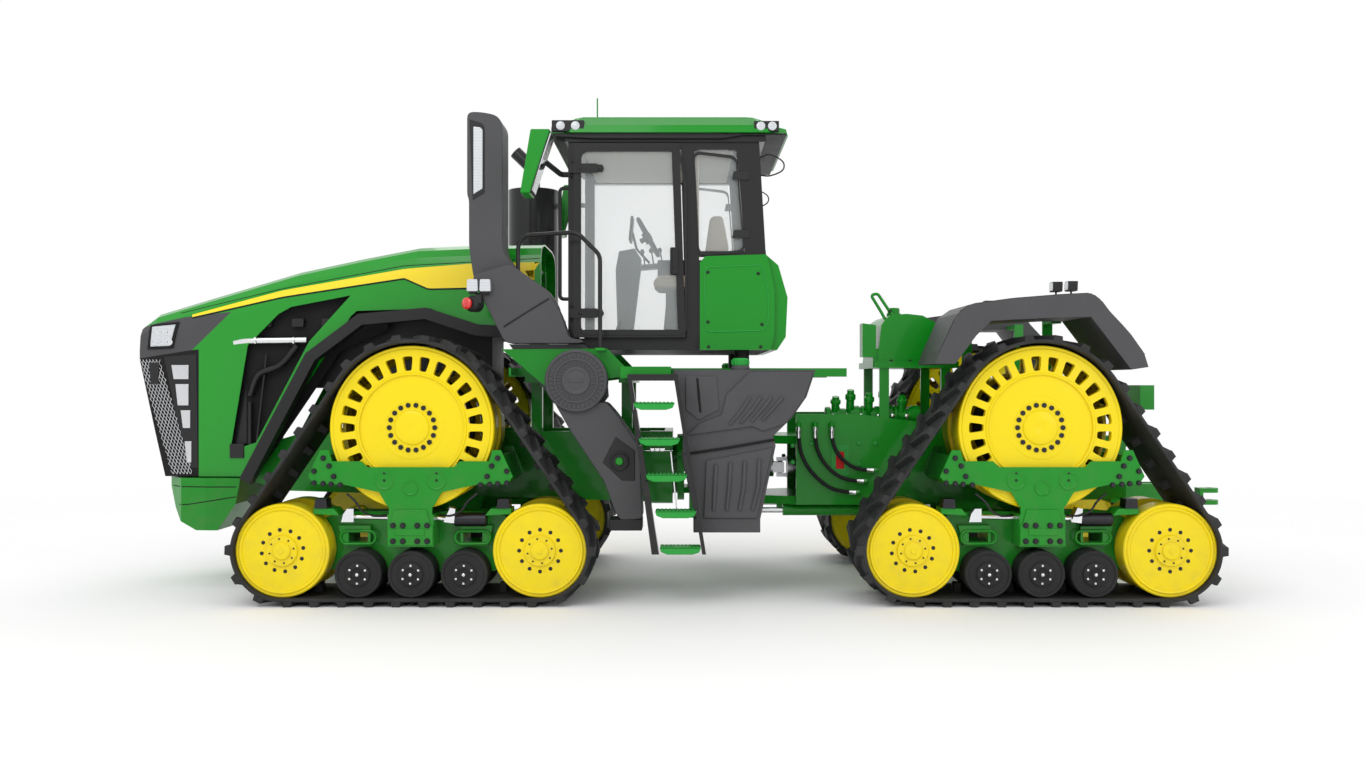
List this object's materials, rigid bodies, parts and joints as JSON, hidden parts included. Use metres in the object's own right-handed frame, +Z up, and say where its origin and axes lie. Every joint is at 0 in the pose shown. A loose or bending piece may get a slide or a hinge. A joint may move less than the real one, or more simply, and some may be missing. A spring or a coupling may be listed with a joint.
{
  "type": "articulated four-track farm tractor",
  "caption": "Articulated farm tractor on rubber track units, with a tilting hood, a glazed cab with an opening door, and a centre joint that steers and rolls between front and rear units.",
  "frame": {"origin": "on the ground at the middle of the length and width", "axes": "-X is the front, +Z is up, +Y is the operator's right-hand side; the longest extent is along X"},
  "size_m": [9.3, 3, 4.15],
  "materials": {
    "belt_rubber": "moulded rubber",
    "wheel_yellow": "satin yellow paint",
    "idler_yellow": "satin yellow paint with a rubber tread",
    "roller_black": "rubber-rimmed cast rollers",
    "frame_green": "gloss green paint",
    "hood_green": "gloss green paint with a yellow stripe",
    "grey_plastic": "grained dark grey plastic",
    "black_plastic": "satin black plastic",
    "black_metal": "satin black paint",
    "cast_dark": "dark casting",
    "grille_silver": "bright mesh",
    "glass_clear": "clear glass",
    "chrome_rod": "hard chrome",
    "steel_shaft": "machined steel",
    "seat_fabric": "beige woven trim",
    "hose_rubber": "black hose"
  },
  "bodies": {
    "front_unit": {"front_left_track_belt": "belt_rubber", "front_right_track_belt": "belt_rubber", "front_drive_wheels": "wheel_yellow", "front_idlers": "idler_yellow", "front_rollers": "roller_black", "front_track_frames": "frame_green", "front_axle": "frame_green", "front_frame": "frame_green", "front_bumper": "frame_green", "front_fenders": "black_plastic", "engine_block": "cast_dark", "radiator": "black_metal", "cab_subframe": "frame_green", "intake_stack": "grey_plastic", "intake_housing": "grey_plastic", "leg_duct": "grey_plastic", "exhaust_stack": "black_metal", "step_treads": "frame_green", "step_rails": "black_metal", "fuel_tanks": "grey_plastic", "cab_floor": "black_plastic", "cab_frame": "black_metal", "cab_roof": "frame_green", "cab_glass": "glass_clear", "cab_rear_panels": "frame_green", "seat_cushions": "seat_fabric", "seat_base": "black_metal", "steering_console": "grey_plastic", "handrails": "black_metal", "mirrors": "black_plastic"},
    "hood": {"hood": "hood_green", "grille": "grille_silver", "nose_panel": "grey_plastic"},
    "cab_door": {"door_frame": "black_metal", "door_glass": "glass_clear"},
    "steering_wheel": {"steering_wheel": "black_plastic"},
    "yoke": {"articulation_yoke": "frame_green"},
    "rear_unit": {"rear_frame": "frame_green", "pivot_pins": "steel_shaft", "rear_left_track_belt": "belt_rubber", "rear_right_track_belt": "belt_rubber", "rear_drive_wheels": "wheel_yellow", "rear_idlers": "idler_yellow", "rear_rollers": "roller_black", "rear_track_frames": "frame_green", "rear_axle": "frame_green", "rear_shaft": "steel_shaft", "hydraulic_tank": "frame_green", "rear_fenders": "grey_plastic", "drawbar": "frame_green", "valve_manifold": "frame_green", "hydraulic_hose_front": "hose_rubber", "hydraulic_hose_middle": "hose_rubber", "hydraulic_hose_rear": "hose_rubber", "rear_couplers": "frame_green"},
    "left_barrel": {"left_cylinder_barrel": "frame_green"},
    "left_rod": {"left_cylinder_rod": "chrome_rod"},
    "right_barrel": {"right_cylinder_barrel": "frame_green"},
    "right_rod": {"right_cylinder_rod": "chrome_rod"},
    "driveshaft": {"driveshaft": "steel_shaft"}
  },
  "joints": [
    {"name": "roll", "type": "hinge", "parent": "front_unit", "child": "yoke", "pos_m": [-0.185, 0, 0.97], "axis": [1, 0, 0], "range_deg": [-8, 8]},
    {"name": "steer", "type": "hinge", "parent": "yoke", "child": "rear_unit", "pos_m": [0.265, 0, 0.97], "axis": [0, 0, 1], "range_deg": [-36, 36]},
    {"name": "hood_tilt", "type": "hinge", "parent": "front_unit", "child": "hood", "pos_m": [-1.345, 0, 2.7], "axis": [0, 1, 0], "range_deg": [0, 40]},
    {"name": "door_swing", "type": "hinge", "parent": "front_unit", "child": "cab_door", "pos_m": [-0.965, -0.926, 2.8], "axis": [0, 0, 1], "range_deg": [-48, 0]},
    {"name": "steering_turn", "type": "hinge", "parent": "front_unit", "child": "steering_wheel", "pos_m": [-0.373, 0, 2.993], "axis": [0.8746, 0, 0.4848], "continuous": true},
    {"name": "driveshaft_swing", "type": "hinge", "parent": "rear_unit", "child": "driveshaft", "pos_m": [0.79, 0, 0.97], "axis": [0, 0, 1], "range_deg": [-18.05, 18.05]},
    {"name": "left_barrel_swing", "type": "hinge", "parent": "rear_unit", "child": "left_barrel", "pos_m": [1.615, -0.34, 0.625], "axis": [0, 0, 1], "range_deg": [-3.19, 3.19]},
    {"name": "left_rod_slide", "type": "slide", "parent": "left_barrel", "child": "left_rod", "axis": [-1, 0, 0], "range_m": [-0.2043, 0.2043]},
    {"name": "right_barrel_swing", "type": "hinge", "parent": "rear_unit", "child": "right_barrel", "pos_m": [1.615, 0.34, 0.625], "axis": [0, 0, 1], "range_deg": [-3.19, 3.19]},
    {"name": "right_rod_slide", "type": "slide", "parent": "right_barrel", "child": "right_rod", "axis": [-1, 0, 0], "range_m": [-0.2043, 0.2043]}
  ],
  "couplings": [
    {"joint": "driveshaft_swing", "follows": "steer", "ratio": -0.5},
    {"joint": "left_barrel_swing", "follows": "steer", "ratio": -0.0872},
    {"joint": "left_rod_slide", "follows": "steer", "m_per_rad": 0.3235},
    {"joint": "right_barrel_swing", "follows": "steer", "ratio": -0.0872},
    {"joint": "right_rod_slide", "follows": "steer", "m_per_rad": -0.3235}
  ]
}
